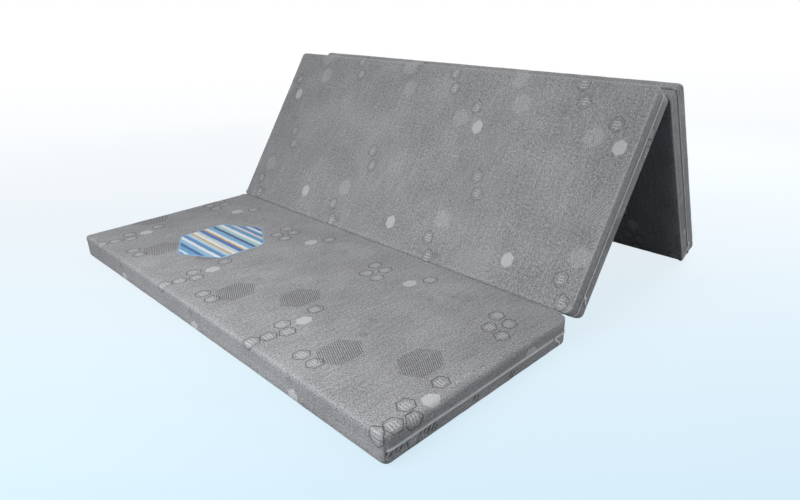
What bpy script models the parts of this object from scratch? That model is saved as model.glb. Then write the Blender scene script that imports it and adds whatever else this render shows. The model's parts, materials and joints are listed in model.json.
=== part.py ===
"""Folding mattress: three foam slabs in zipped knit covers, hinged by their own fabric.

Metres, +Z up. The origin is the middle of the seat slab's underside. +X runs along the folds to
the zipped ends, and +Y runs from the seat's front edge to the front fold. The seat lies flat, and
the back and rear slabs stand behind it as an A-frame.
"""

import collections
import math

import bmesh
import bpy
from mathutils import Vector

# The mattress laid open
mattress_width = 1.600
mattress_length = 2.000
slab_count = 3
foam_thickness = 0.080

# Cover fabric, and how it shapes the slab
cover_thickness = 0.0017
edge_radius = 0.018
fold_edge_radius = 0.004
corner_radius = 0.020
crown_height = 0.0015
crown_reach = 0.120
side_draw = 0.002
foam_edge_ease = 0.003

# Clearances
touch_gap = 0.0003
seam_gap = 0.0003
cut_overrun = 0.010

# Folds
fold_gap = 0.003
front_fold_rise = 0.0022
rear_fold_drop = 0.0005
back_recline = math.radians(56.2)
web_thickness = 0.0012
web_start = 0.0065
web_reach = 0.020

# Zip, closed along the right end and a short way round one corner
coil_height = 0.0022
coil_stand = 0.0005
tape_thickness = 0.0008
tape_width = 0.014
tape_tail = 0.004
slot_side_gap = 0.0015
slot_end_gap = 0.0006
zip_end_margin = 0.004
wrap_run = 0.030

# Zip slider, a channel over the closed coils, with a bridge for its pull
slider_length = 0.013
slider_wall = 0.0010
lip_wall = 0.0009
lip_tape_gap = 0.0003
bridge_length = 0.0088
bridge_bar = 0.0014
bridge_opening = 0.0018
slider_park = 0.060

# Pull, a doubled woven tape looped round the bridge bar
pull_length = 0.036
pull_width = 0.004
pull_thickness = 0.0014
pull_eye_clearance = 0.0003
pull_eye_wall = 0.0008

# Woven patch on the seat, a hexagon measured across its flats
patch_across = 0.285
patch_thickness = 0.0006
patch_corner_radius = 0.030
patch_left = 0.283
patch_back = 0.183

# Fineness of the rounded shapes
long_side_steps = 6
short_side_steps = 4
corner_steps = 4
outer_round_steps = 4
inner_round_steps = 2
patch_corner_steps = 4
eye_steps = 12
crown_ring_shares = (0.22, 0.55, 1.0)
crease_angle = math.radians(35)

# Sizes that follow
slab_depth = (mattress_length - (slab_count - 1) * fold_gap) / slab_count
slab_thickness = foam_thickness + 2 * (cover_thickness + touch_gap)
half_width = mattress_width / 2
half_depth = slab_depth / 2
seam_height = slab_thickness / 2
coil_reach = coil_height + seam_gap / 2
slot_reach = coil_reach + slot_side_gap
tape_depth = cover_thickness + touch_gap
coil_depth = tape_depth - touch_gap
core_side_inset = tape_depth + tape_thickness + touch_gap
core_face_inset = cover_thickness + touch_gap
axis_step = half_depth + fold_gap / 2

RimPoint = collections.namedtuple("RimPoint", "place normal side next_side share")
Slab = collections.namedtuple("Slab", "name frame fold_edges drawn_sides wrap_side front_panel")


def clear_scene():
    for old in list(bpy.data.objects):
        bpy.data.objects.remove(old, do_unlink=True)


def make_material(name, colour, roughness, metallic=0.0):
    material = bpy.data.materials.new(name)
    material.use_nodes = True
    shader = material.node_tree.nodes["Principled BSDF"]
    shader.inputs["Base Color"].default_value = (*colour, 1.0)
    shader.inputs["Roughness"].default_value = roughness
    shader.inputs["Metallic"].default_value = metallic
    material.diffuse_color = (*colour, 1.0)
    return material


def make_empty(name, location, parent=None):
    empty = bpy.data.objects.new(name, None)
    empty.location = location
    empty.parent = parent
    bpy.context.scene.collection.objects.link(empty)
    return empty


def make_object(name, points, faces, parent, material=None, location=(0, 0, 0)):
    """Object from points and faces, triangulated so that every face is truly flat."""
    mesh = bpy.data.meshes.new(name)
    shape = bmesh.new()
    verts = [shape.verts.new(point) for point in points]
    for face in faces:
        shape.faces.new([verts[index] for index in face])
    bmesh.ops.recalc_face_normals(shape, faces=shape.faces)
    bmesh.ops.triangulate(shape, faces=shape.faces, quad_method="FIXED")
    shape.to_mesh(mesh)
    shape.free()
    made = bpy.data.objects.new(name, mesh)
    made.location = location
    made.parent = parent
    bpy.context.scene.collection.objects.link(made)
    if material is None:
        made.hide_render = True
        made.display_type = "WIRE"
    else:
        mesh.materials.append(material)
        mesh.shade_smooth()
        mesh.set_sharp_from_angle(angle=crease_angle)
    return made


def cut(target, cutter, operation="DIFFERENCE"):
    modifier = target.modifiers.new(cutter.name, "BOOLEAN")
    modifier.operation = operation
    modifier.solver = "EXACT"
    modifier.object = cutter


def stacked_rings(rings):
    """Points and faces of a closed skin through rings of equal count, capped at both ends."""
    count = len(rings[0])
    points = [point for ring in rings for point in ring]
    faces = [tuple(reversed(range(count)))]
    for level in range(len(rings) - 1):
        base = level * count
        for index in range(count):
            after = (index + 1) % count
            faces.append((base + index, base + after, base + count + after, base + count + index))
    top = (len(rings) - 1) * count
    faces.append(tuple(range(top, top + count)))
    return points, faces


def prism(outline, low, high, place):
    """Closed bar with a flat outline; place turns (u, v, w) into a point."""
    rings = [[place(u, v, w) for u, v in outline] for w in (low, high)]
    return stacked_rings(rings)


def box_corners(low, high):
    outline = ((low[0], low[1]), (high[0], low[1]), (high[0], high[1]), (low[0], high[1]))
    return prism(outline, low[2], high[2], lambda u, v, w: Vector((u, v, w)))


def slab_outline(slab, inset):
    """Rim of the slab in plan, anticlockwise, with the outward normal at each point."""
    half_x = half_width - inset
    half_y = half_depth - inset
    radius = max(corner_radius - inset, touch_gap)
    sides = (
        ("right", Vector((1, 0)), Vector((0, 1)), half_x, half_y - radius, short_side_steps),
        ("far", Vector((0, 1)), Vector((-1, 0)), half_y, half_x - radius, long_side_steps),
        ("left", Vector((-1, 0)), Vector((0, -1)), half_x, half_y - radius, short_side_steps),
        ("near", Vector((0, -1)), Vector((1, 0)), half_y, half_x - radius, long_side_steps),
    )
    rim = []
    for index, (name, normal, along, distance, reach, steps) in enumerate(sides):
        draw = side_draw if name in slab.drawn_sides else 0
        following = sides[(index + 1) % len(sides)][0]
        for step in range(steps + 1):
            run = 2 * step / steps - 1
            place = normal * (distance - draw * (1 - run * run)) + along * (reach * run)
            rim.append(RimPoint(place, normal, name, name, 0))
        centre = normal * (distance - radius) + along * reach
        for step in range(1, corner_steps):
            share = step / corner_steps
            turn = share * math.pi / 2
            outward = normal * math.cos(turn) + along * math.sin(turn)
            rim.append(RimPoint(centre + outward * radius, outward, name, following, share))
    return rim


def edge_radius_at(point, slab, face, less):
    """Radius of the rounded edge over one rim point, sharp where the slab is sewn to a fold."""
    radii = [
        fold_edge_radius if (face, side) in slab.fold_edges else edge_radius
        for side in (point.side, point.next_side)
    ]
    radius = radii[0] * (1 - point.share) + radii[1] * point.share
    return max(radius - less, touch_gap)


def padded_block(slab, side_inset, face_inset, round_steps, ease=0):
    """Slab with rounded edges, drawn-in free sides and a crowned upper face."""
    rim = slab_outline(slab, side_inset)
    low = face_inset
    high = slab_thickness - face_inset
    rings = []
    for face, base, direction in (("lower", low, 1), ("upper", high, -1)):
        steps = range(round_steps + 1)
        if face == "lower":
            steps = reversed(steps)
        for step in steps:
            turn = step / round_steps * math.pi / 2
            ring = []
            for point in rim:
                radius = edge_radius_at(point, slab, face, side_inset - ease)
                flat = point.place - point.normal * (radius * (1 - math.cos(turn)))
                height = base + direction * radius * (1 - math.sin(turn))
                ring.append(Vector((flat.x, flat.y, height)))
            rings.append(ring)
    for share in crown_ring_shares:
        inward = edge_radius + (crown_reach - edge_radius) * share
        rise = crown_height * (1 - (1 - share) ** 2)
        shrink_x = 1 - inward / half_width
        shrink_y = 1 - inward / half_depth
        rings.append([
            Vector((point.place.x * shrink_x, point.place.y * shrink_y, high + rise))
            for point in rim
        ])
    return stacked_rings(rings)


def zip_path(slab, extra):
    """Line of the closed zip on the slab's outer wall: the right end, one corner and a short wrap."""
    tangent_x = half_width - corner_radius
    tangent_y = half_depth - corner_radius
    start = -tangent_y + zip_end_margin - extra
    path = [(Vector((half_width, start)), Vector((1, 0)))]
    for step in range(corner_steps + 1):
        turn = step / corner_steps * math.pi / 2
        outward = Vector((math.cos(turn), math.sin(turn)))
        path.append((Vector((tangent_x, tangent_y)) + outward * corner_radius, outward))
    path.append((Vector((tangent_x - wrap_run - extra, half_depth)), Vector((0, 1))))
    if slab.wrap_side == "near":
        mirror = Vector((1, -1))
        path = [(place * mirror, normal * mirror) for place, normal in reversed(path)]
    return path


def strip_along(path, inner, outer, low, high):
    """Closed strip that follows the zip's line, from one offset to another of the outer wall."""
    outline = [place + normal * outer for place, normal in path]
    outline += [place + normal * inner for place, normal in reversed(path)]
    return prism(outline, low, high, lambda u, v, w: Vector((u, v, w)))


def make_cover(slab, side, cavity, slot, material):
    """One half of the knit cover, an open shell that meets the other half at the seam."""
    points, faces = padded_block(slab, 0, 0, outer_round_steps)
    cover = make_object(f"{slab.name}_cover_{side}", points, faces, slab.frame, material)
    cut(cover, cavity)
    far_x = half_width + cut_overrun
    far_y = half_depth + cut_overrun
    top = slab_thickness + crown_height + cut_overrun
    panel_end = half_width - corner_radius * (1 - math.cos(math.pi / 4))
    panel_foot = edge_radius * (1 - math.cos(math.pi / 4))
    panel_back = corner_radius - half_depth
    upper_start = seam_height + seam_gap / 2
    lower_end = seam_height - seam_gap / 2
    if side == "upper" and slab.front_panel:
        regions = {
            "behind_panel": ((-far_x, panel_back, -cut_overrun), (far_x, far_y, upper_start)),
            "right_of_panel": ((panel_end, -far_y, -cut_overrun), (far_x, far_y, upper_start)),
            "left_of_panel": ((-far_x, -far_y, -cut_overrun), (-panel_end, far_y, upper_start)),
            "under_panel": (
                (-far_x, -far_y, -cut_overrun),
                (far_x, far_y, panel_foot + seam_gap / 2),
            ),
        }
    elif side == "upper":
        regions = {"below_seam": ((-far_x, -far_y, -cut_overrun), (far_x, far_y, upper_start))}
    else:
        regions = {"above_seam": ((-far_x, -far_y, lower_end), (far_x, far_y, top))}
        if slab.front_panel:
            regions["front_panel"] = (
                (-panel_end - seam_gap, -far_y, panel_foot - seam_gap / 2),
                (panel_end + seam_gap, panel_back, top),
            )
    for region, (low, high) in regions.items():
        points, faces = box_corners(low, high)
        cut(cover, make_object(f"cut_{slab.name}_{side}_{region}", points, faces, slab.frame))
    cut(cover, slot)
    return cover


def make_zip(slab, materials):
    """Tapes behind the cover, and the two meshed coils in the slot between the cover's halves."""
    for side, direction in (("upper", 1), ("lower", -1)):
        near = seam_height + direction * seam_gap / 2
        path = zip_path(slab, slot_end_gap + tape_tail)
        span = sorted((near, near + direction * tape_width))
        points, faces = strip_along(path, -tape_depth - tape_thickness, -tape_depth, *span)
        make_object(f"{slab.name}_zip_tape_{side}", points, faces, slab.frame, materials["tape"])
        span = sorted((near, near + direction * coil_height))
        points, faces = strip_along(zip_path(slab, 0), -coil_depth, coil_stand, *span)
        make_object(f"{slab.name}_zip_coil_{side}", points, faces, slab.frame, materials["coil"])


def slider_place(slab):
    """Where the slider is parked on the chain, near the corner that the zip wraps."""
    direction = -1 if slab.wrap_side == "near" else 1
    return Vector((half_width, direction * (half_depth - slider_park), seam_height))


def make_slider(slab, materials):
    """Slider and its pull. The slider's origin is on the chain, the pull's on the bridge bar."""
    channel = coil_reach + touch_gap
    outside = channel + lip_wall
    plate_in = coil_stand + touch_gap
    plate_out = plate_in + slider_wall
    lip_end = -tape_depth + lip_tape_gap
    profile = (
        (lip_end, -outside), (plate_out, -outside), (plate_out, outside), (lip_end, outside),
        (lip_end, channel), (plate_in, channel), (plate_in, -channel), (lip_end, -channel),
    )
    half_length = slider_length / 2
    points, faces = prism(profile, -half_length, half_length, lambda u, v, w: Vector((u, w, v)))
    place = slider_place(slab)
    slider = make_object(
        f"{slab.name}_zip_slider", points, faces, slab.frame, materials["metal"], place
    )
    half_bridge = bridge_length / 2
    half_opening = half_bridge - bridge_bar
    bar_in = plate_out + bridge_opening
    bar_out = bar_in + bridge_bar
    root = plate_out - slider_wall / 2
    arch = (
        (root, -half_bridge), (bar_out, -half_bridge), (bar_out, half_bridge), (root, half_bridge),
        (root, half_opening), (bar_in, half_opening), (bar_in, -half_opening),
        (root, -half_opening),
    )
    half_bar = bridge_bar / 2
    points, faces = prism(arch, -half_bar, half_bar, lambda u, v, w: Vector((u, v, w)))
    bridge = make_object(f"add_{slab.name}_bridge", points, faces, slab.frame, None, place)
    cut(slider, bridge, "UNION")
    pivot = place + Vector((bar_in + half_bar, 0, 0))
    make_pull(slab, pivot, materials["webbing"])


def make_pull(slab, pivot, material):
    """Woven pull that hangs from the bridge bar, with an eye round it."""
    eye_inner = math.hypot(bridge_bar / 2, bridge_bar / 2) + pull_eye_clearance
    eye_outer = eye_inner + pull_eye_wall
    half_strip = pull_thickness / 2
    neck = math.asin(half_strip / eye_outer)
    outline = [(half_strip, -pull_length), (half_strip, -eye_outer * math.cos(neck))]
    sweep = 2 * (math.pi - neck)
    for step in range(1, eye_steps):
        turn = neck + sweep * step / eye_steps
        outline.append((eye_outer * math.sin(turn), -eye_outer * math.cos(turn)))
    outline += [(-half_strip, -eye_outer * math.cos(neck)), (-half_strip, -pull_length)]
    half_pull = pull_width / 2
    points, faces = prism(outline, -half_pull, half_pull, lambda u, v, w: Vector((u, w, v)))
    pull = make_object(f"{slab.name}_zip_pull", points, faces, slab.frame, material, pivot)
    hole = [
        (eye_inner * math.cos(turn), eye_inner * math.sin(turn))
        for turn in (2 * math.pi * (step + 1 / 2) / eye_steps for step in range(eye_steps))
    ]
    points, faces = prism(hole, -pull_width, pull_width, lambda u, v, w: Vector((u, w, v)))
    cut(pull, make_object(f"cut_{slab.name}_eye", points, faces, slab.frame, None, pivot))


def make_slab(slab, materials):
    points, faces = padded_block(
        slab, core_side_inset, core_face_inset, inner_round_steps, foam_edge_ease
    )
    make_object(f"{slab.name}_foam_core", points, faces, slab.frame, materials["foam"])
    points, faces = padded_block(slab, cover_thickness, cover_thickness, inner_round_steps)
    cavity = make_object(f"cut_{slab.name}_cavity", points, faces, slab.frame)
    slot_path = zip_path(slab, slot_end_gap)
    slot_low = seam_height - slot_reach
    slot_high = seam_height + slot_reach
    slot_inner = -cover_thickness * 2
    points, faces = strip_along(slot_path, slot_inner, cover_thickness, slot_low, slot_high)
    slot = make_object(f"cut_{slab.name}_zip_slot", points, faces, slab.frame)
    for side in ("upper", "lower"):
        make_cover(slab, side, cavity, slot, materials["knit"])
    make_zip(slab, materials)
    make_slider(slab, materials)


def wall_point(along, clear, direction, child_turn):
    """Point in a fold's opening, in the plane across the fold with the axis at its centre.

    along is the way down the end wall from the axis, and clear the distance off that wall.
    child_turn is None for the wall of the slab that the fold hangs from.
    """
    across = fold_gap / 2 - clear
    if child_turn is None:
        return (-across, direction * along)
    y = across * math.cos(child_turn) - direction * along * math.sin(child_turn)
    z = across * math.sin(child_turn) + direction * along * math.cos(child_turn)
    return (y, z)


def make_fold_web(name, frame, location, direction, child_turn, material):
    """Fabric hinge: a strip from one end wall to the next, with its sewn legs on both."""
    outer = touch_gap
    inner = touch_gap + web_thickness
    deep = web_start + web_thickness
    outline = [
        wall_point(web_reach, outer, direction, None),
        wall_point(web_start, outer, direction, None),
        wall_point(web_start, outer, direction, child_turn),
        wall_point(web_reach, outer, direction, child_turn),
        wall_point(web_reach, inner, direction, child_turn),
        wall_point(deep, inner, direction, child_turn),
        wall_point(deep, inner, direction, None),
        wall_point(web_reach, inner, direction, None),
    ]
    half_web = half_width - corner_radius
    points, faces = prism(outline, -half_web, half_web, lambda u, v, w: Vector((w, u, v)))
    return make_object(name, points, faces, frame, material, location)


def make_patch(frame, material):
    """Flat woven hexagon with rounded corners on the level middle of the seat's upper face."""
    tip = patch_across / math.sqrt(3)
    centre = Vector((patch_left + patch_across / 2 - half_width, half_depth - patch_back - tip))
    reach = tip - patch_corner_radius * 2 / math.sqrt(3)
    outline = []
    for corner in range(6):
        aim = math.pi / 2 + corner * math.pi / 3
        pivot = centre + Vector((math.cos(aim), math.sin(aim))) * reach
        for step in range(patch_corner_steps + 1):
            turn = aim + (step / patch_corner_steps - 1 / 2) * math.pi / 3
            outline.append(pivot + Vector((math.cos(turn), math.sin(turn))) * patch_corner_radius)
    low = slab_thickness + crown_height + touch_gap
    points, faces = prism(outline, low, low + patch_thickness, lambda u, v, w: Vector((u, v, w)))
    return make_object("seat_woven_patch", points, faces, frame, material)


def rear_lean():
    """Angle of the rear slab from upright at which its rounded foot edge just meets the floor."""
    first_axis = slab_thickness + front_fold_rise
    depth_run = slab_depth + fold_gap
    drop = first_axis + rear_fold_drop
    second_axis = first_axis + depth_run * math.sin(back_recline) - drop * math.cos(back_recline)
    centre_along = fold_gap / 2 + slab_depth - edge_radius
    centre_out = rear_fold_drop + edge_radius
    reach = math.hypot(centre_along, centre_out)
    return math.acos((second_axis - edge_radius) / reach) - math.atan2(centre_out, centre_along)


def main():
    clear_scene()
    materials = {
        "knit": make_material("heather_knit", (0.245, 0.245, 0.255), 0.95),
        "foam": make_material("foam", (0.80, 0.77, 0.66), 0.90),
        "tape": make_material("zip_tape", (0.20, 0.20, 0.21), 0.85),
        "coil": make_material("zip_coil", (0.40, 0.40, 0.42), 0.45),
        "metal": make_material("slider_metal", (0.45, 0.45, 0.46), 0.35, 1.0),
        "webbing": make_material("pull_webbing", (0.60, 0.60, 0.61), 0.85),
        "fold": make_material("fold_fabric", (0.20, 0.20, 0.21), 0.95),
        "patch": make_material("woven_patch", (0.12, 0.30, 0.60), 0.80),
    }

    seat_frame = make_empty("seat_frame", (0, 0, 0))
    front_axis_place = (0, axis_step, slab_thickness + front_fold_rise)
    front_axis = make_empty("front_fold_axis", front_axis_place, seat_frame)
    front_axis.rotation_euler.x = back_recline
    back_frame = make_empty(
        "back_frame", (0, axis_step, -slab_thickness - front_fold_rise), front_axis
    )
    rear_axis_place = (0, axis_step, -rear_fold_drop)
    rear_axis = make_empty("rear_fold_axis", rear_axis_place, back_frame)
    rear_turn = rear_lean() - math.pi / 2 - back_recline
    rear_axis.rotation_euler.x = rear_turn
    rear_frame = make_empty("rear_frame", (0, axis_step, rear_fold_drop), rear_axis)

    slabs = (
        Slab("seat", seat_frame, {("upper", "far")}, {"near", "left"}, "far", True),
        Slab("back", back_frame, {("upper", "near"), ("lower", "far")}, {"left"}, "near", False),
        Slab("rear", rear_frame, {("lower", "near")}, {"left"}, "far", False),
    )
    for slab in slabs:
        make_slab(slab, materials)
    make_fold_web(
        "fold_web_front", seat_frame, front_axis_place, -1, back_recline, materials["fold"]
    )
    make_fold_web("fold_web_rear", back_frame, rear_axis_place, 1, rear_turn, materials["fold"])
    make_patch(seat_frame, materials["patch"])
    bpy.context.view_layer.update()


main()
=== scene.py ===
import json
import math
from collections import Counter
from functools import partial

import bmesh
import bpy
import numpy as np
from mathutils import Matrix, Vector
from mathutils.kdtree import KDTree


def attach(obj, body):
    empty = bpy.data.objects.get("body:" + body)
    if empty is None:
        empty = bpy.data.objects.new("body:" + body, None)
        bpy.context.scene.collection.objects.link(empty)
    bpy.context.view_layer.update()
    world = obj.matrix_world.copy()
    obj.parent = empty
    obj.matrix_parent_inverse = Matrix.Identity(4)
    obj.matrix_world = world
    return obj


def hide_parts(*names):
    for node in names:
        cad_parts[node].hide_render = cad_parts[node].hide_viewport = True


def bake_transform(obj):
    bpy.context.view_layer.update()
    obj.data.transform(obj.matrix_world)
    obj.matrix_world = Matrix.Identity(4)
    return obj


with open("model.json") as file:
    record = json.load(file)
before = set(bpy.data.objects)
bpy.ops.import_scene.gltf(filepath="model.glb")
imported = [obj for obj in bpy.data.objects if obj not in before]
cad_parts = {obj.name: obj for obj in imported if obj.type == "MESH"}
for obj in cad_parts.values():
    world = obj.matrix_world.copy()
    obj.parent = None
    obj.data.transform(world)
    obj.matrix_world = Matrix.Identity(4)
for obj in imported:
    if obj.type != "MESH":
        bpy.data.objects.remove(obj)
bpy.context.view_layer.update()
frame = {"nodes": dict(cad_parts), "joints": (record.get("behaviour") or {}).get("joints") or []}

# Folding mattress: three foam slabs in heather jacquard covers, zipped round their right ends.
# Metres. Each slab has its own axes: x along the folds, y from near to far, z through it.

camera = {
    "lens": 28.323,
    "sensor": 36.0,
    "place": (1.5436, -0.9900, 0.9016),
    "turn": (67.049, 1.351, 45.589),  # degrees, as Blender's XYZ rotation
}

slabShape = {
    "seamHeight": 0.042,  # zip and side seams, above the slab's lower face
    "edgeRound": 0.018,
    "cornerRound": 0.020,
    "gridStep": 0.0085,
    "arcShares": (0.20, 0.42, 0.67, 0.86, 0.95, 1),  # rows round an edge, closest at its corner
    "wallShares": (0, 0.055, 0.14, 0.30, 0.52, 0.76, 1),  # rows of the wall, from the seam up
    "foldPower": 12,  # squareness of an edge that is sewn to a fold; 2 is round
    "crown": 0.0014,
    "wallSwell": 0.0007,
    "slack": 0.0009,  # how far the held seams draw in
    "seamFade": 0.005,
    "dents": 0.0010,  # long soft dents from folding and handling
    "dentWaves": ((0.34, 0.6), (0.12, 0.4)),  # wavelength and share
    "pucker": 0.0007,
    "puckerWave": 0.045,
    "seamSink": 0.0010,
    "seamGap": 0.0003,
    "slotReach": 0.0042,  # half the opening that shows the zip
    "clothThickness": 0.0014,
    "sideDraw": 0.002,
    "sideDrawReach": 0.12,
}

slabPlans = {
    "seat": {
        "folds": (("upper", "far"),), "drawn": ("left", "near"), "squared": (("upper", "near", 4),),
        "wrap": 1, "frontPanel": True, "zipPaintedShade": False, "seed": 3,
        "fabric": {"upper": ("frontRun", 0.8, 0.3323, -1), "lower": ("underRun", 0.0, 0.35, -1)},
        "drift": ((1.44, 0.13, -0.021),),
        "askew": ((0.0072, 0.0155, 0.0070), (0.0084, 0.0048, 0.0088)),
    },
    "back": {
        "folds": (("upper", "near"), ("lower", "far")), "drawn": ("left",),
        "squared": (("upper", "right", 14), ("lower", "right", 7)),
        "wrap": -1, "frontPanel": False, "zipPaintedShade": False, "seed": 11,
        "fabric": {"upper": ("backRun", 0.8, 0.3323, -1), "lower": ("frontRun", 0.7, 0.35, -1)},
        "drift": ((1.0, -0.9, 0.016), (1.15, 0.5, 0.008)),
        "askew": ((0.0021, 0.0137, -0.0008), (0.0, 0.0045, 0.0099)),
    },
    "rear": {
        "folds": (("lower", "near"),), "drawn": ("left",),
        "squared": (("upper", "right", 4), ("lower", "right", 12)),
        # The rear slab's zip takes darker copies of the zip finishes, as painted shade at its end
        "wrap": 1, "frontPanel": False, "zipPaintedShade": True, "seed": 23,
        "fabric": {"upper": ("backRun", 0.9, 0.36, 1), "lower": ("frontRun", 0.483, 0.299, 1)},
        "wallShift": {"lower": 0.11},
    },
}

signs = {"upper": 1, "lower": -1, "far": 1, "near": -1, "right": 1, "left": -1}
upZ = np.array((0.0, 0.0, 1.0))


def report(words):
    print("mattress:", words)


def linear(hexColour):
    parts = [int(hexColour[start:start + 2], 16) / 255 for start in (1, 3, 5)]
    return (*[p / 12.92 if p <= 0.04045 else ((p + 0.055) / 1.055) ** 2.4 for p in parts], 1.0)


def addNode(tree, kind, *inputs, output=0, stops=None, **settings):
    # kind may end in an operation. inputs: values and other nodes' outputs in the order of the
    # sockets, or one dictionary of them by socket. Gives one of the new node's outputs.
    kind, _, operation = kind.partition(" ")
    made = tree.nodes.new("ShaderNode" + kind)
    if operation:
        made.operation = operation
    for key, value in settings.items():
        setattr(made, key, value)
    if stops:
        fillRamp(made.color_ramp.elements, stops)
    byKey = inputs[0] if inputs and isinstance(inputs[0], dict) else dict(enumerate(inputs))
    for key, value in byKey.items():
        if isinstance(value, bpy.types.NodeSocket):
            tree.links.new(value, made.inputs[key])
        else:
            made.inputs[key].default_value = value
    return made.outputs[output] if made.outputs else None


def fillRamp(elements, stops):
    while len(elements) > 1:
        elements.remove(elements[-1])
    elements[0].position, elements[0].color = stops[0][0], linear(stops[0][1])
    for place, colour in stops[1:]:
        elements.new(place).color = linear(colour)


def newMaterial(name, **shaderValues):
    material = bpy.data.materials.new(name)
    material.use_nodes = True
    shader = material.node_tree.nodes["Principled BSDF"]
    for key, value in shaderValues.items():
        shader.inputs[key.replace("_", " ")].default_value = value
    return material, shader, partial(addNode, material.node_tree)


def finishSurface(shader, colour, height, depth, strength):
    tree = shader.id_data
    bump = addNode(tree, "Bump", {"Height": height, "Distance": depth, "Strength": strength})
    tree.links.new(colour, shader.inputs["Base Color"])
    tree.links.new(bump, shader.inputs["Normal"])


# Jacquard motifs, in millimetres of the cloth: across the folds, then away from the far edge.
# Each run of cloth repeats by its cell, and differs from the common values where it says so.
commonRun = {
    "hatchDepth": 0.88,
    "hatchLight": 0.10,
    "breakShare": 0.85,
    "dashDepth": 0.55,
    "dashPitch": 7.2,
    "barHalf": (15, 20),
    "ringDepth": 1.0,
    "paleDepth": 0.12,
    "paleRimDepth": 0.34,
    "grainShare": 0.95,
    "stroke": (0.22, 0.30, 0),  # turns per mm of the mottle's strokes
    "bare": (0, 0, 0),  # a place without motifs: its middle and reach
}

jacquardRuns = {
    "frontRun": {
        "cell": ((947, -25), (1433, 770)),
        "solid": ((1163, 152), (1115, 503), (1299, 737)),
        "ringed": (
            (988, 133), (1038, 135), (1012, 191), (1062, 192), (1191, 93), (1087, 443),
            (1090, 555), (1133, 569), (1117, 617), (1252, 611), (1304, 611), (1107, 662),
        ),
        "hatched": ((998, 432), (1308, 538)),
        "pale": ((1390, 355), (1214, 440), (1397, 620), (1275, 92)),
        "dashes": ((1248, 378), (1289, 443), (1321, 130), (1279, 186), (1290, 690), (1341, 739)),
    },
    "backRun": {
        "cell": ((825, -12), (1319, 720)),
        "solid": ((1072, 201), (872, 585)),
        "ringed": (
            (893, 24), (917, 80), (1039, 135), (1148, 361), (1172, 415), (1055, 594), (1080, 652),
        ),
        "hatched": ((1162, 250), (1218, 385), (1110, 385), (1168, 520), (1237, 635)),
        "pale": ((1165, 24), (1203, 103), (987, 181), (1080, 522)),
        "dashes": ((1110, 640),),
        "hatchDepth": 0.42, "hatchLight": 0.28, "breakShare": 0.68, "barHalf": (13, 17),
        "ringDepth": 0.62, "paleDepth": 0.40, "paleRimDepth": 0.30,
        "grainShare": 0.84, "stroke": (0.34, 0.13, 0), "bare": (540, 165, 100),
    },
    "underRun": {
        "cell": ((520, -60), (1006, 700)),
        "solid": ((640, 330), (905, 120)),
        "ringed": ((825, 601), (700, 560), (752, 560), (600, 120), (655, 122), (960, 350)),
        "hatched": ((560, 470), (700, 230)),
        "pale": ((900, 480), (600, 620)),
        "dashes": ((829, 668), (825, 644), (823, 556), (821, 538), (818, 396), (819, 262)),
        "hatchDepth": 0.60, "dashDepth": 1.0, "dashPitch": 12.5,
    },
}

jacquard = {
    "ground": "#949598",
    "lightYarn": "#B9BABD",
    "darkYarn": "#68696D",
    "motifLight": "#D0D1D4",
    "motifDark": "#38393D",
    # Painted shade for the seams and the folds' creases, where the cloth dips and shade falls
    "paintedSeamShade": "#3B3C40",
    "solidHalf": (19, 26),  # half width and half height of each motif, mm
    "ringedHalf": (20.5, 26.5),
    "hatchedHalf": (50, 71),
    "paleHalf": (29, 35),
    "dashesHalf": (12, 14),
    "barPitch": 8.6,  # light bars across a ringed motif, mm
    "hatchPitch": 5.6,
    "hatchSlope": 0.50,
    "breakPitch": 8.6,  # breaks along the hatching
    "dashSlope": 0.62,
    "wander": 1.9,  # knitted edges wander by about a stitch, mm
    "stitchPitch": 2.4,  # twice the real stitch, so that it shows
    "yarnGrain": 3.0,  # mottle of the two yarns, mm
    "slubGrain": 8.0,  # thicker places in the yarns, mm
    "mottle": (("strokes", 0.42), ("slub", 0.19), ("wales", 0.16), ("drift", 0.16)),
    "mottleRange": (0.725, 1.155),  # the mottle's sum at the dark and the light yarn
}


def hexField():
    # 1 on the outline of a point-up hexagon, 0 at its centre
    group = bpy.data.node_groups.new("hexField", "ShaderNodeTree")
    for name in ("Place", "Centre", "Side", "Slant"):
        group.interface.new_socket(name, in_out="INPUT", socket_type="NodeSocketVector")
    group.interface.new_socket("Field", in_out="OUTPUT", socket_type="NodeSocketFloat")
    place, centre, side, slant = group.nodes.new("NodeGroupInput").outputs[:4]
    size = addNode(group, "VectorMath ABSOLUTE", addNode(group, "VectorMath SUBTRACT", place, centre))
    shares = [addNode(group, "VectorMath DOT_PRODUCT", size, way, output="Value") for way in (side, slant)]
    most = addNode(group, "Math MAXIMUM", *shares)
    group.links.new(most, group.nodes.new("NodeGroupOutput").inputs[0])
    return group


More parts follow.
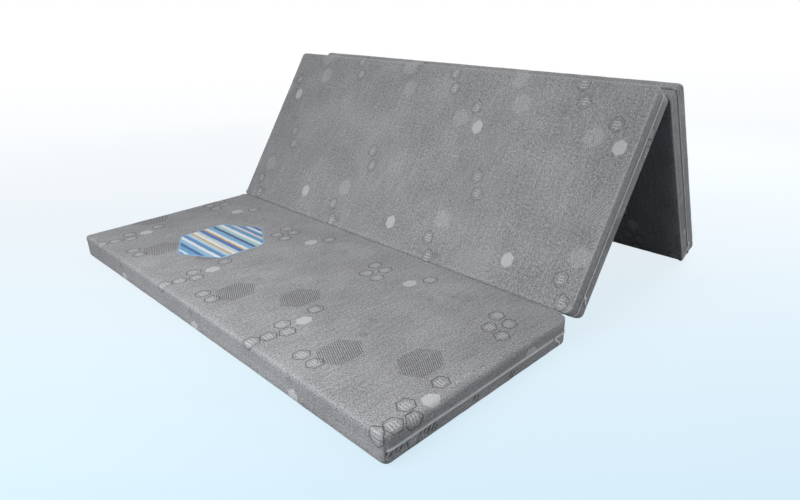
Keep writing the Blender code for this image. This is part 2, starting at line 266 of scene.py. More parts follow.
def jacquardKnit(name, ownRun, hexGroup):
    # Double-knit polyester jacquard in two heather yarns: matt and mottled, with raised light motifs
    run = {**commonRun, **ownRun}
    material, shader, add = newMaterial(
        name + "Jacquard", Roughness=0.93, Sheen_Weight=0.12, Sheen_Roughness=0.55, Specular_IOR_Level=0.25
    )
    flat = add("VectorMath SCALE", {0: add("UVMap", uv_map="cloth"), "Scale": 1000})
    strokePlace = add("VectorMath MULTIPLY", flat, run["stroke"])
    walePlace = add("VectorMath MULTIPLY", flat, (0.12, 0.014, 0))
    noise = {
        label: add(
            "TexNoise", {"Vector": place, "Scale": scale, "Detail": detail, "Roughness": roughness},
            noise_dimensions="2D",
        )
        for label, place, scale, detail, roughness in (
            ("wander", flat, 0.22, 1.0, 0.5), ("speck", flat, 0.30, 0.0, 0.5),
            ("grain", flat, 1 / jacquard["yarnGrain"], 2.0, 0.7),
            ("slub", flat, 1 / jacquard["slubGrain"], 1.0, 0.5), ("strokes", strokePlace, 1.0, 1.0, 0.5),
            ("wales", walePlace, 1.0, 2.0, 0.5), ("drift", flat, 0.006, 2.0, 0.5),
            ("gathers", flat, 0.11, 1.0, 0.5),
        )
    }
    low, high = run["cell"]
    wrapped = add("VectorMath WRAP", flat, (*high, 1), (*low, -1))
    across = add("SeparateXYZ", wrapped)
    along = across.node.outputs[1]
    stray = add("VectorMath SUBTRACT", noise["wander"].node.outputs["Color"], (0.5, 0.5, 0.5))
    strayed = add("VectorMath MULTIPLY_ADD", stray, (jacquard["wander"], jacquard["wander"], 0), wrapped)

    def nearestHex(place, centres, half):
        least = None
        for centre in centres:
            made = add("Group", {
                "Place": place, "Centre": (*centre, 0), "Side": (1 / half[0], 0, 0),
                "Slant": (0.5 / half[0], 1 / half[1], 0),
            }, node_tree=hexGroup)
            least = made if least is None else add("Math MINIMUM", least, made)
        return least

    def comb(value, pitch, share):
        # 1 on a band of every pitch, with soft sides
        turn = add("Math PINGPONG", value, pitch / 2)
        return add("MapRange", turn, pitch / 2 * (share - 0.12), pitch / 2 * (share + 0.12), 1.0, 0.0)

    def outline(field, place, reach):
        off = add("Math ABSOLUTE", add("Math SUBTRACT", field, place))
        return add("MapRange", off, reach * 0.45, reach, 1.0, 0.0)

    def strongest(*layers):
        most = None
        for *factors, weight in layers:
            for factor in factors:
                weight = add("Math MULTIPLY", factor, weight)
            most = weight if most is None else add("Math MAXIMUM", most, weight)
        return most

    field = {
        kind: nearestHex(strayed, run[kind], jacquard[kind + "Half"])
        for kind in ("solid", "ringed", "hatched", "dashes", "pale")
    }
    pitch = jacquard["barPitch"]
    snapped = [(x, round(y / pitch) * pitch) for x, y in run["ringed"]]
    barField = nearestHex(wrapped, snapped, run["barHalf"])
    slope = jacquard["hatchSlope"]
    squash = 1 / math.sqrt(1 + slope ** 2)
    hatchAcross = add("Math MULTIPLY", add("Math MULTIPLY_ADD", across, -slope, along), squash)
    hatchAlong = add("Math MULTIPLY", add("Math MULTIPLY_ADD", along, slope, across), squash)
    hatchLine = comb(hatchAcross, jacquard["hatchPitch"], 0.50)
    breaks = comb(hatchAlong, jacquard["breakPitch"], run["breakShare"])
    dashLine = comb(add("Math MULTIPLY_ADD", across, jacquard["dashSlope"], along), run["dashPitch"], 0.42)
    inside = {
        kind: add("MapRange", place, full, none, 1.0, 0.0)
        for kind, place, full, none in (
            ("solid", field["solid"], 0.92, 1.0), ("bars", barField, 0.72, 0.86),
            ("hatched", field["hatched"], 0.95, 1.02), ("dashes", field["dashes"], 0.80, 1.05),
            ("pale", field["pale"], 0.86, 1.04),
        )
    }
    speckled = add("MapRange", noise["speck"], 0.35, 0.65, 0.2, 1.0)
    light = strongest(
        (inside["solid"], 0.78),
        (inside["bars"], comb(along, pitch, 0.40), 0.76),
        (inside["hatched"], add("Math SUBTRACT", 1.0, hatchLine), run["hatchLight"]),
        (inside["pale"], speckled, run["paleDepth"]),
        (outline(field["pale"], 0.93, 0.07), speckled, run["paleRimDepth"]),
    )
    dark = strongest(
        (outline(field["ringed"], 0.95, 0.075), run["ringDepth"]),
        (inside["hatched"], hatchLine, breaks, run["hatchDepth"]),
        (inside["dashes"], dashLine, run["dashDepth"]),
    )
    x, y, reach = run["bare"]
    if reach:
        away = add("VectorMath DISTANCE", flat, (x, y, 0), output="Value")
        kept = add("MapRange", away, reach - 2, reach)
        light, dark = add("Math MULTIPLY", light, kept), add("Math MULTIPLY", dark, kept)

    # Heather ground: fine grain, short strokes along the courses and slow drifts of tone
    mottle = add("Math MULTIPLY", noise["grain"], run["grainShare"])
    for label, weight in jacquard["mottle"]:
        mottle = add("Math MULTIPLY_ADD", noise[label], weight, mottle)
    shift = (commonRun["grainShare"] - run["grainShare"]) / 2
    tone = add("MapRange", mottle, *[limit - shift for limit in jacquard["mottleRange"]])
    colour = add("ValToRGB", tone, stops=(
        (0.0, jacquard["darkYarn"]), (0.5, jacquard["ground"]), (1.0, jacquard["lightYarn"])
    ))
    thread = add("MapRange", noise["grain"], 0.3, 0.7, 0.62, 1.0)
    seam, rub = (add("Attribute", attribute_name=label, output="Fac") for label in ("seam", "rub"))
    # Painted shade darkens the seams and the folds' creases; the rounded edges are lighter, from rubbed wear
    # and, along a squared edge's rim, a painted highlight
    for tint, share in (
        ("motifLight", add("Math MULTIPLY", light, thread)),
        ("motifDark", add("Math MULTIPLY", dark, thread)),
        ("paintedSeamShade", add("MapRange", seam, 0.15, 1.0, 0.0, 0.55)),
        ("motifLight", add("Math MULTIPLY", add("Math MULTIPLY", rub, noise["grain"]), 0.12)),
    ):
        colour = add("Mix", {0: share, 6: colour, 7: linear(jacquard[tint])}, output=2, data_type="RGBA")

    # Stitch rows, raised motifs and small gathers beside the seams
    stitches = [
        add("Math SINE", add("Math MULTIPLY", way, 2 * math.pi / jacquard["stitchPitch"]))
        for way in (along, across)
    ]
    relief = add("Math MULTIPLY", add("Math MULTIPLY", *stitches), 0.10)
    gathered = add("Math MULTIPLY", noise["gathers"], seam)
    for part, weight in ((light, 0.55), (dark, -0.75), (noise["grain"], 0.85), (gathered, 2.2)):
        relief = add("Math MULTIPLY_ADD", part, weight, relief)
    finishSurface(shader, colour, relief, 0.0006, 0.75)
    return material


def fineMaterial(name, colours, grain, bumpDepth, stripes=None, wear=None, **shaderValues):
    # A small part's finish: two tones mixed by grain, optional ribs with painted shade in their grooves,
    # or rubbed edges, in a third tone, and a bump. Grain and stripe pitch are in mm.
    material, shader, add = newMaterial(name, **shaderValues)
    place = add("TexCoord", output="Object")
    height = add("TexNoise", {"Vector": place, "Scale": 1000 / grain, "Detail": 3.0, "Roughness": 0.6})
    colour = add("ValToRGB", height, stops=((0.3, colours[0]), (0.7, colours[1])))
    if stripes:
        pitch, direction = stripes
        run = add("VectorMath DOT_PRODUCT", place, direction, output="Value")
        wave = add("Math SINE", add("Math MULTIPLY", run, 2000 * math.pi / pitch))
        height = add("Math MULTIPLY_ADD", wave, 0.8, height)
        # Painted shade: the ribs' grooves take the third, darker tone
        grooveShadeAndWear = add("MapRange", wave, -1.0, 0.2, 0.45, 0.0)
    if wear:
        grooveShadeAndWear = add("MapRange", add("NewGeometry", output="Pointiness"), 0.52, 0.60, 0.0, wear)
    if stripes or wear:
        colour = add("Mix", {0: grooveShadeAndWear, 6: colour, 7: linear(colours[2])}, output=2, data_type="RGBA")
    finishSurface(shader, colour, height, bumpDepth, 0.8)
    return material


# Slabs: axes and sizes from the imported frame


def nodePoints(name):
    return np.array([v.co for v in frame["nodes"][name].data.vertices], float)


def readSlab(name, plan):
    travel = next(j for j in frame["joints"] if j["name"] == f"{name}_zip_travel")
    along, acrossFolds = Vector(travel["axis"]).normalized(), Vector((1, 0, 0))
    turn = np.array([acrossFolds, along, acrossFolds.cross(along)]).T
    lower, upper, slider = (
        nodePoints(f"{name}_{part}") @ turn for part in ("cover_lower", "cover_upper", "zip_slider")
    )
    low = np.minimum(lower.min(0), upper.min(0))
    high = np.maximum(lower.max(0), upper.max(0))
    middle, half = (low + high) / 2, (high - low) / 2
    return dict(
        plan, name=name, body=f"{name}_slab", turn=turn, halfX=half[0], halfY=half[1],
        origin=np.array((middle[0], middle[1], lower.min(0)[2] + slabShape["seamHeight"])),
        sliderY=(slider.min(0)[1] + slider.max(0)[1]) / 2 - middle[1],
    )


def toFrame(slab, points):
    # From the slab's own axes, with z from the seam, to the shared frame
    return (np.asarray(points, float) + slab["origin"]) @ slab["turn"].T


def smooth(value):
    value = np.clip(value, 0, 1)
    return value * value * (3 - 2 * value)


def unit(vector):
    return vector / np.linalg.norm(vector)


def ripple(places, wavelength, seed, count=9):
    # Soft seeded waves in a plane, from about -1 to 1
    dice = np.random.default_rng(seed)
    total = np.zeros(len(places))
    for _ in range(count):
        angle = dice.uniform(0, 2 * math.pi)
        length = wavelength * dice.uniform(0.7, 1.5)
        wave = np.array((math.cos(angle), math.sin(angle))) * 2 * math.pi / length
        total += np.sin(places[:, :2] @ wave + dice.uniform(0, 2 * math.pi))
    return total / math.sqrt(count) / 1.6


def slotOpening(slab, box):
    # Half the gap between the cover's halves: wide at the zip, a closed seam elsewhere
    x, y = box[:, 0], box[:, 1] * slab["wrap"]
    rounding, lead = slabShape["cornerRound"], zipParts["lead"]
    fromWrapEnd = x - (slab["halfX"] - rounding - zipParts["wrapRun"]) + 0.005
    fromStart = y - (rounding - slab["halfY"] - rounding * math.tan(lead / rounding)) - 0.001
    onEnd = smooth(fromWrapEnd / 0.008) * smooth(fromStart / 0.005)
    onWrap = (y > slab["halfY"] - 1e-6) | (x > slab["halfX"] - 1e-6)
    gap = slabShape["seamGap"] / 2
    return gap + (slabShape["slotReach"] - gap) * np.where(onWrap, onEnd, 0)


def boxToSurface(slab, box):
    # box: places on a plain box with z from the seam. Gives rounded places, normals and facts.
    rounding, corner = slabShape["edgeRound"], slabShape["cornerRound"]
    half = np.array((slab["halfX"], slab["halfY"]))
    flatZ = slabShape["seamHeight"] - rounding
    inner = np.clip(box[:, :2], -(half - corner), half - corner)
    excess = box[:, :2] - inner
    reach = np.abs(excess).max(1) / corner
    aim = excess / np.maximum(np.linalg.norm(excess, axis=1), 1e-9)[:, None]
    rise = np.clip((np.abs(box[:, 2]) - flatZ) / rounding, 0, None)
    tilt = np.arctan2(reach, np.maximum(rise, 1e-9))
    side = np.sign(box[:, 2])
    power = np.full(len(box), 2.0)
    folded = [(face, edge, slabShape["foldPower"]) for face, edge in slab["folds"]]
    for face, edge, squareness in (*folded, *slab["squared"]):
        weight = np.clip(aim[:, 0 if edge == "right" else 1] * signs[edge], 0, None) ** 2
        power += (squareness - 2) * weight * (side == signs[face])
    sine, cosine = np.sin(tilt), np.cos(tilt)
    stretch = (np.abs(sine) ** power + np.abs(cosine) ** power) ** (-1 / power)
    flat, wall = reach == 0, rise <= 1e-6
    stretch[flat] = 1
    shift = (corner - rounding) * np.minimum(reach / 0.15, 1) + rounding * sine * stretch
    shift[wall] = corner
    height = np.where(wall, box[:, 2], side * (flatZ + rounding * cosine * stretch))
    out = np.concatenate([inner + aim * shift[:, None], height[:, None]], axis=1)
    normal = np.concatenate([aim * sine[:, None], (side * cosine)[:, None]], axis=1)
    normal[wall] = np.insert(aim[wall], 2, 0, axis=1)
    normal[flat] = side[flat][:, None] * upZ
    return out, normal, {"aim": aim, "tilt": tilt, "wall": wall, "side": side, "power": power}


def seamCloseness(slab, box, facts):
    # 1 at a closed seam, less at the zip's opening, falling away over some millimetres
    opening, fade = slotOpening(slab, box), slabShape["seamFade"]
    atZip = smooth((opening - 0.001) / 0.001)
    wallish = facts["tilt"] > math.pi / 4 - 0.01
    drop = np.maximum(np.abs(box[:, 2]) - opening, 0)
    front = box[:, 1] < -slab["halfY"] + 1e-6
    inFront = front & (np.abs(box[:, 0]) < slab["halfX"] - 1e-6) & slab["frontPanel"]
    near = np.where(wallish & ~inFront, np.exp(-drop / fade) * (1 - 0.75 * atZip), 0.0)
    if slab["frontPanel"]:
        cornerFar = np.hypot(np.abs(box[:, 0]) - slab["halfX"], box[:, 1] + slab["halfY"])
        near = np.where(wallish & (box[:, 1] < 0), np.maximum(near, 0.85 * np.exp(-cornerFar / fade)), near)
        footFar = np.abs(box[:, 2] + slabShape["seamHeight"]) + np.abs(box[:, 1] + slab["halfY"])
        near = np.maximum(near, np.exp(-footFar / fade))
    return near


def foldCloseness(slab, box):
    # 1 at an edge that is sewn to a fold
    near = np.zeros(len(box))
    for face, edge in slab["folds"]:
        across = box[:, 1] * signs[edge] - slab["halfY"]
        rise = box[:, 2] * signs[face] - slabShape["seamHeight"]
        near = np.maximum(near, np.exp(-(np.hypot(across, rise) / 0.018) ** 2))
    return near


def shapeSlab(slab, box):
    # The dressed slab: rounded, drawn in at its seams, crowned and softly dented
    points, normal, facts = boxToSurface(slab, box)
    seam, fold = seamCloseness(slab, box, facts), foldCloseness(slab, box)
    height, wall = np.abs(box[:, 2]), facts["wall"]
    halves, drawReach = (slab["halfX"], slab["halfY"]), slabShape["sideDrawReach"]
    for sideName in slab["drawn"]:
        axis = 0 if sideName == "left" else 1
        cross = halves[1 - axis] - slabShape["cornerRound"]
        bow = slabShape["sideDraw"] * (1 - np.clip(points[:, 1 - axis] / cross, -1, 1) ** 2)
        points[:, axis] += bow * smooth((-points[:, axis] - halves[axis] + drawReach) / drawReach)
    x, y, z = points.T.copy()
    onEnd = np.abs(facts["aim"][:, 0]) > 0.7
    edgeFar = np.minimum(halves[0] - np.abs(x), halves[1] - np.abs(y))
    faceShare = smooth((edgeFar - 0.004) / 0.10) if slab["swell"] is None else swellAt(slab, points)
    # Walls swell least beside the vertical corners
    cornerFar = np.where(onEnd, halves[1] - np.abs(y), halves[0] - np.abs(x))
    wallShare = (1 - (1 - np.clip(height / 0.024, 0, 1)) ** 2) * smooth(cornerFar / 0.05)
    push = np.where(~wall & (facts["side"] > 0), slabShape["crown"] * faceShare, 0.0)
    push = np.where(wall, slabShape["wallSwell"] * wallShare, push)
    push -= slabShape["slack"] * seam
    plan = np.stack([x + z * 0.7, y - z * 0.7], axis=1)
    slow = sum(
        ripple(plan, wavelength, slab["seed"] + number) * share
        for number, (wavelength, share) in enumerate(slabShape["dentWaves"])
    )
    dents = np.clip(0.5 - 0.5 * slow, 0, 1) * np.where((facts["side"] > 0) | wall, 1, 0.35)
    strip = np.stack([np.where(onEnd, y, x), z * 0.3], axis=1)
    gather = np.clip(0.5 + 0.5 * ripple(strip, slabShape["puckerWave"], slab["seed"] + 2), 0, 1)
    soft = np.exp(-edgeFar / 0.022) * ~wall + np.exp(-height / 0.014) * wall
    push -= slabShape["dents"] * dents + slabShape["pucker"] * gather * soft
    push *= 1 - fold
    points += normal * push[:, None]
    fromEdge = facts["tilt"] - math.pi / 4
    # A squared edge gets a narrow painted highlight along its rim, as if it caught the light
    rim = np.exp(-(fromEdge / 0.09) ** 2) * np.clip((facts["power"] - 3) / 5, 0, 1)
    rub = np.exp(-(fromEdge / 0.45) ** 2) * (height > 0.02) + 6 * rim * (1 - fold)
    # The seam share given back here sets the painted shade at the seams and along the folds' creases
    return points, normal, np.maximum(seam, 0.35 * fold ** 4), rub


def stations(half):
    corner = slabShape["cornerRound"]
    arc = [half - corner + corner * share for share in slabShape["arcShares"]]
    count = round(2 * (half - corner) / slabShape["gridStep"])
    middle = np.linspace(corner - half, half - corner, count + 1)
    return np.concatenate([-np.array(arc[::-1]), middle, arc])


def slabGrid(slab):
    # Every grid place on the box, and quads tagged with their panel and half
    xs, ys = stations(slab["halfX"]), stations(slab["halfY"])
    rounding, shares = slabShape["edgeRound"], slabShape["wallShares"]
    flatZ = slabShape["seamHeight"] - rounding
    heights = (*shares, *[flatZ + rounding * share for share in slabShape["arcShares"]])
    levels = len(heights)
    lastX, lastY, lastZ = len(xs) - 1, len(ys) - 1, 2 * levels - 1
    index, box = {}, []
    for k in range(2 * levels):
        sign, rung = (1, k - levels) if k >= levels else (-1, levels - 1 - k)
        for i in range(lastX + 1):
            everyY = k in (0, lastZ) or i in (0, lastX)
            for j in range(lastY + 1) if everyY else (0, lastY):
                index[i, j, k] = len(box)
                box.append((xs[i], ys[j], sign * heights[rung], float(rung < len(shares)), sign))
    box = np.array(box)
    opening = slotOpening(slab, box)
    onWall = box[:, 3] > 0
    box[onWall, 2] = (box[:, 4] * (opening + (flatZ - opening) * np.abs(box[:, 2])))[onWall]
    quads = []

    def quad(panel, half, *keys):
        quads.append((panel, half, [index[key] for key in keys]))

    for i in range(lastX):
        for j in range(lastY):
            quad("face", "lower", (i, j, 0), (i, j + 1, 0), (i + 1, j + 1, 0), (i + 1, j, 0))
            quad("face", "upper", (i, j, lastZ), (i + 1, j, lastZ), (i + 1, j + 1, lastZ), (i, j + 1, lastZ))
    for k in range(lastZ):
        half, above = "lower" if k < levels - 1 else "upper", k + 1
        atSeam = k == levels - 1
        for i in range(lastX):
            if slab["frontPanel"] or not atSeam:
                quad("near", "upper" if slab["frontPanel"] else half,
                     (i, 0, k), (i + 1, 0, k), (i + 1, 0, above), (i, 0, above))
            if not atSeam:
                quad("far", half, (i + 1, lastY, k), (i, lastY, k), (i, lastY, above), (i + 1, lastY, above))
        for j in range(0 if atSeam else lastY):
            quad("right", half, (lastX, j, k), (lastX, j + 1, k), (lastX, j + 1, above), (lastX, j, above))
            quad("left", half, (0, j + 1, k), (0, j, k), (0, j, above), (0, j + 1, above))
    return box[:, :3], quads


def clothPlace(slab, panel, half, box):
    # Where a place of the box lies on the flat cloth, in metres, laid out from the half's face
    rounding, corner = slabShape["edgeRound"], slabShape["cornerRound"]
    flatZ = slabShape["seamHeight"] - rounding

    def unrolled(value, halfSize):
        beyond = np.clip(np.abs(value) - (halfSize - corner), 0, None) / corner
        return np.sign(value) * (np.minimum(np.abs(value), halfSize - corner) + corner * np.arctan(beyond))

    u, v = unrolled(box[:, 0], slab["halfX"]), unrolled(box[:, 1], slab["halfY"])
    if panel != "face":
        z = box[:, 2] * signs[half]
        curl = np.arctan(np.clip((np.abs(z) - flatZ) / rounding, 0, None)) * rounding
        drop = rounding * math.pi / 2 + flatZ - np.sign(z) * (np.minimum(np.abs(z), flatZ) + curl)
        if panel in ("right", "left"):
            u = signs[panel] * (slab["halfX"] - rounding + drop)
        else:
            v = signs[panel] * (slab["halfY"] - rounding + drop)
    _, uStart, vStart, direction = slab["fabric"][half]
    across, down = u + uStart, vStart + direction * v
    if half == "upper" and "askew" in slab:
        for start, reach, amount in slab["drift"]:
            down = down + amount * smooth((across - start) / reach)
        # No cover is cut or sewn on quite square
        offAcross, offDown = across - 1.0, down - 0.35
        (shift, stretch, skew), (shiftDown, skewDown, stretchDown) = slab["askew"]
        across = across + shift + stretch * offAcross + skew * offDown
        down = down + shiftDown + skewDown * offAcross + stretchDown * offDown
    if panel != "face":
        # The sewing pulls the walls about
        down = down + slab.get("wallShift", {}).get(half, 0)
        strip = np.stack([box[:, 1] + box[:, 0], box[:, 2] * 1.5], axis=1)
        hold = 1 - np.clip(np.abs(box[:, 2]) / slabShape["seamHeight"], 0, 1)
        pulled = hold * (1.9 if half == "lower" else 1.0)
        across = across + 0.0035 * pulled * ripple(strip, 0.075, slab["seed"] + 5)
        down = down + 0.0045 * pulled * ripple(strip, 0.060, slab["seed"] + 6)
    return np.stack([across, down], axis=1)


def newObject(name, points, faces, material=None):
    mesh = bpy.data.meshes.new(name)
    mesh.from_pydata([tuple(p) for p in points], [], [tuple(int(i) for i in f) for f in faces])
    mesh.update()
    mesh.shade_smooth()
    if material:
        mesh.materials.append(material)
    made = bpy.data.objects.new(name, mesh)
    bpy.context.scene.collection.objects.link(made)
    return made


def addPiece(slab, part, slotName, points, faces, material, node=None, fill=None, body=None):
    # A piece given in the slab's own axes; node is the solid that it stands for
    piece = newObject(slab["name"] + part, toFrame(slab, points), faces, material)
    if node:
        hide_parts(f"{slab['name']}_{node}")
    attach(piece, body or slab["body"])
    return piece


def turnOutward(piece):
    shape = bmesh.new()
    shape.from_mesh(piece.data)
    bmesh.ops.recalc_face_normals(shape, faces=shape.faces)
    shape.to_mesh(piece.data)
    shape.free()


def layCloth(mesh, places, **wear):
    # Cloth coordinates for each corner, how much each point is seamed, and how much it is lightened by
    # rubbed wear and by a painted rim highlight
    mesh.uv_layers.new(name="cloth").data.foreach_set("uv", places.astype(np.float32).ravel())
    for label, values in wear.items():
        mesh.attributes.new(label, "FLOAT", "POINT").data.foreach_set("value", values.astype(np.float32))


# Cloth simulation: the cover is blown up off its held seams, which gives the faces their swell

clothRun = {
    "merge": 0.0012,
    "voxel": 0.010,
    "heldSeam": 0.007,  # half the held band's height
    "heldFold": (0.012, 0.030),  # how far in and up from the seam an edge at a fold is held
    "frames": 20,
    "cap": 0.006,  # the most that a point may move
    "settings": {
        "quality": 4,
        "mass": 0.3,
        "use_pressure": True,
        "uniform_pressure_force": 4.0,
        "vertex_group_mass": "held",
    },
}


def swellCover(slab, box, quads):
    points, _, _ = boxToSurface(slab, box)
    work = newObject(slab["name"] + "Work", points, [corners for _, _, corners in quads])
    shape = bmesh.new()
    shape.from_mesh(work.data)
    bmesh.ops.remove_doubles(shape, verts=shape.verts, dist=clothRun["merge"])
    bmesh.ops.holes_fill(shape, edges=shape.edges)
    shape.to_mesh(work.data)
    shape.free()
    bpy.context.view_layer.objects.active = work
    remesh = work.modifiers.new("remesh", "REMESH")
    remesh.mode = "VOXEL"
    remesh.voxel_size = clothRun["voxel"]
    seen = work.evaluated_get(bpy.context.evaluated_depsgraph_get())
    remeshed = bpy.data.meshes.new_from_object(seen)
    work.modifiers.remove(remesh)
    work.data = remeshed
    start = np.array([v.co for v in work.data.vertices])
    held = np.abs(start[:, 2]) < clothRun["heldSeam"]
    inward, upward = clothRun["heldFold"]
    for face, edge in slab["folds"]:
        held |= (start[:, 1] * signs[edge] > slab["halfY"] - inward) & (start[:, 2] * signs[face] > upward)
    work.vertex_groups.new(name="held").add([int(i) for i in np.flatnonzero(held)], 1.0, "REPLACE")
    cloth = work.modifiers.new("cloth", "CLOTH")
    for key, value in clothRun["settings"].items():
        setattr(cloth.settings, key, value)
    cloth.settings.effector_weights.gravity = 0
    cloth.collision_settings.use_collision = False
    cloth.point_cache.frame_start = 1
    cloth.point_cache.frame_end = clothRun["frames"]
    for step in range(1, clothRun["frames"] + 1):
        bpy.context.scene.frame_set(step)
    seen = work.evaluated_get(bpy.context.evaluated_depsgraph_get())
    moved = np.linalg.norm(np.array([v.co for v in seen.data.vertices]) - start, axis=1)
    bpy.context.scene.frame_set(1)
    tree = KDTree(len(start))
    for number, place in enumerate(start):
        tree.insert(place, number)
    tree.balance()
    bpy.data.objects.remove(work)
    return tree, np.minimum(moved, clothRun["cap"]) / clothRun["cap"]


def swellAt(slab, points):
    tree, share = slab["swell"]
    made = np.empty(len(points))
    for number, place in enumerate(points):
        found = [(which, 1 / (distance + 0.002)) for _, which, distance in tree.find_n(place, 4)]
        made[number] = sum(weight * share[which] for which, weight in found) / sum(w for _, w in found)
    return made


def makeCovers(slab):
    box, quads = slabGrid(slab)
    slab["swell"] = swellCover(slab, box, quads)
    points, normal, seam, rub = shapeSlab(slab, box)
    for half in ("upper", "lower"):
        mine = [(panel, corners) for panel, owner, corners in quads if owner == half]
        panels = np.repeat([panel for panel, _ in mine], 4)
        corners = np.array([corner for _, face in mine for corner in face])
        used = sorted(set(corners.tolist()))
        renumber = {old: new for new, old in enumerate(used)}
        faces = [[renumber[corner] for corner in face] for _, face in mine]
        places = points[used].copy()
        # The open edge turns in, which leaves a fine groove where two halves meet
        edges = Counter(tuple(sorted(ends)) for face in faces for ends in zip(face, face[1:] + face[:1]))
        rim = sorted({corner for ends, uses in edges.items() if uses == 1 for corner in ends})
        places[rim] -= normal[used][rim] * slabShape["seamSink"]
        uv = np.empty((len(corners), 2))
        for panel in set(panels.tolist()):
            loops = panels == panel
            uv[loops] = clothPlace(slab, panel, half, box[corners[loops]])
        cloth = materials[slab["fabric"][half][0]]
        cover = addPiece(
            slab, "Cover" + half.capitalize(), "knit_cover", places, faces, cloth, f"cover_{half}", 0.95
        )
        layCloth(cover.data, uv, seam=seam[used], rub=rub[used])
        shell = cover.modifiers.new("clothThickness", "SOLIDIFY")
        shell.thickness = slabShape["clothThickness"]
        shell.offset = -1
    report(f"{slab['name']} cover, {len(quads)} quads")


def loft(rings, capped=True):
    # Skin through closed rings of equal count
    count = len(rings[0])
    points = [place for ring in rings for place in ring]
    faces = []
    for a in range(0, (len(rings) - 1) * count, count):
        for i in range(count):
            j = (i + 1) % count
            faces.append((a + i, a + j, a + count + j, a + count + i))
    if capped:
        faces.append(tuple(reversed(range(count))))
        faces.append(tuple(range(len(points) - count, len(points))))
    return points, faces


def bar(sections, count):
    # A rounded bar through sections, each a middle and two half widths
    turns = [2 * math.pi * corner / count for corner in range(count)]
    return loft([[middle + a * math.cos(t) + b * math.sin(t) for t in turns] for middle, a, b in sections])


def join(parts):
    points, faces = [], []
    for partPoints, partFaces in parts:
        base = len(points)
        points.extend(partPoints)
        faces.extend([tuple(base + i for i in face) for face in partFaces])
    return points, faces


# Foam cores: plain blocks of cut foam inside the covers

foamCore = {"faceInset": 0.0021, "sideInset": 0.0034, "edge": 0.014, "settle": 0.0002}


def makeFoam(slab, material):
    shape = bmesh.new()
    bmesh.ops.create_cube(shape, size=2)
    bmesh.ops.scale(shape, verts=shape.verts, vec=(
        slab["halfX"] - foamCore["sideInset"],
        slab["halfY"] - foamCore["sideInset"],
        slabShape["seamHeight"] - foamCore["faceInset"] - slabShape["dents"],
    ))
    bmesh.ops.bevel(
        shape, geom=shape.edges[:], offset=foamCore["edge"], segments=5, profile=0.5, affect="EDGES"
    )
    points = np.array([v.co for v in shape.verts])
    faces = [[v.index for v in face.verts] for face in shape.faces]
    shape.free()
    points[:, 2] -= foamCore["settle"]
    for sideName in slab["drawn"]:
        axis = 0 if sideName == "left" else 1
        points[points[:, axis] < 0, axis] += slabShape["sideDraw"]
    core = addPiece(slab, "Foam", "foam", points, faces, material, "foam_core", 1.0)
    core.data.set_sharp_from_angle(angle=math.radians(40))


# Zip: woven tapes, moulded nylon coils, topstitching, a cast slider and a tape pull

zipParts = {
    "pitch": 0.0016,  # one coil turn
    "coilStart": 0.00015,  # each side's coil and tape, from the middle
    "coilHeight": 0.0027,
    "coilOut": 0.0012,  # how far the coils stand out of the cover's wall
    "coilIn": -0.0016,
    "tapeIn": -0.0021,
    "tapeThickness": 0.0007,
    "tapeWidth": 0.0138,
    "tapeTail": 0.004,
    "tapeStep": 0.004,
    "lead": 0.012,  # how far round the first corner the zip starts
    "wrapRun": 0.030,
    "stitchPitch": 0.0040,
    "stitchLength": 0.0030,
    "stitchRadius": 0.00032,
    "stitchAway": 0.0026,  # topstitch from the cover's turned edge
}


def zipLine(slab):
    # Length of the closed zip, and a function from a length along it to place and outward normal
    corner, lead = slabShape["cornerRound"], zipParts["lead"]
    reach = slab["halfY"] - corner
    straight = lead + 2 * reach
    bend = corner * math.pi / 2

    def at(run):
        x, y = slab["halfX"], run - lead - reach
        nx, ny = 1.0, 0.0
        if run > straight + bend:
            x = slab["halfX"] - corner - (run - straight - bend)
            y, nx, ny = slab["halfY"], 0.0, 1.0
        elif run > straight or run < lead:
            angle = (run - straight if run > straight else run - lead) / corner
            nx, ny = math.cos(angle), math.sin(angle)
            x = slab["halfX"] - corner + corner * nx
            y = math.copysign(reach, angle) + corner * ny
        return np.array((x, y * slab["wrap"], 0)), np.array((nx, ny * slab["wrap"], 0))

    return straight + bend + zipParts["wrapRun"], at


def makeTapes(slab, tapeMaterial, coilMaterial):
    total, at = zipLine(slab)
    tail, pitch, start = zipParts["tapeTail"], zipParts["pitch"], zipParts["coilStart"]
    high, outer = start + zipParts["tapeWidth"], zipParts["tapeIn"]
    inner = outer - zipParts["tapeThickness"]
    # Ribbed selvedge: thin edge, flat body, thicker cord beside the coil
    profile = ((inner, start), (outer, start), (outer, start + 0.004), (outer - 0.0001, high - 0.002),
               (outer, high - 0.001), ((inner + outer) / 2, high), (inner, high - 0.001),
               (inner, start + 0.004))
    # Each turn of the coil shows as a rounded bar; the two sides interlock along the middle
    top = zipParts["coilHeight"] + start
    turnShape = ((-0.00035, 0.45), (0.0, 0.85), (0.0006, 1.0), (0.0015, 0.96), (top - 0.0004, 0.86),
                 (top, 0.35))
    depth = (zipParts["coilOut"] - zipParts["coilIn"]) / 2 * 1.12
    middleOut = (zipParts["coilOut"] + zipParts["coilIn"]) / 2
    for half in ("upper", "lower"):
        side, label = signs[half], half.capitalize()
        rings = []
        for run in np.arange(-tail, total + tail + 1e-6, zipParts["tapeStep"]):
            place, normal = at(run)
            rings.append([place + normal * out + upZ * side * up for out, up in profile[::side]])
        addPiece(slab, "ZipTape" + label, "zip_tape", *loft(rings), tapeMaterial, "zip_tape_" + half)
        turns = []
        for step in range(int((total - 0.001) / pitch)):
            run = (step + (0.5 if side > 0 else 1.0)) * pitch
            place, normal = at(run)
            along = unit(at(run + 0.0002)[0] - place)
            turns.append(bar([
                (place + normal * middleOut + upZ * side * up,
                 along * pitch * 0.42 * girth, normal * depth * side * girth)
                for up, girth in turnShape
            ], 6))
        addPiece(slab, "ZipCoil" + label, "zip_coil", *join(turns), coilMaterial, "zip_coil_" + half)


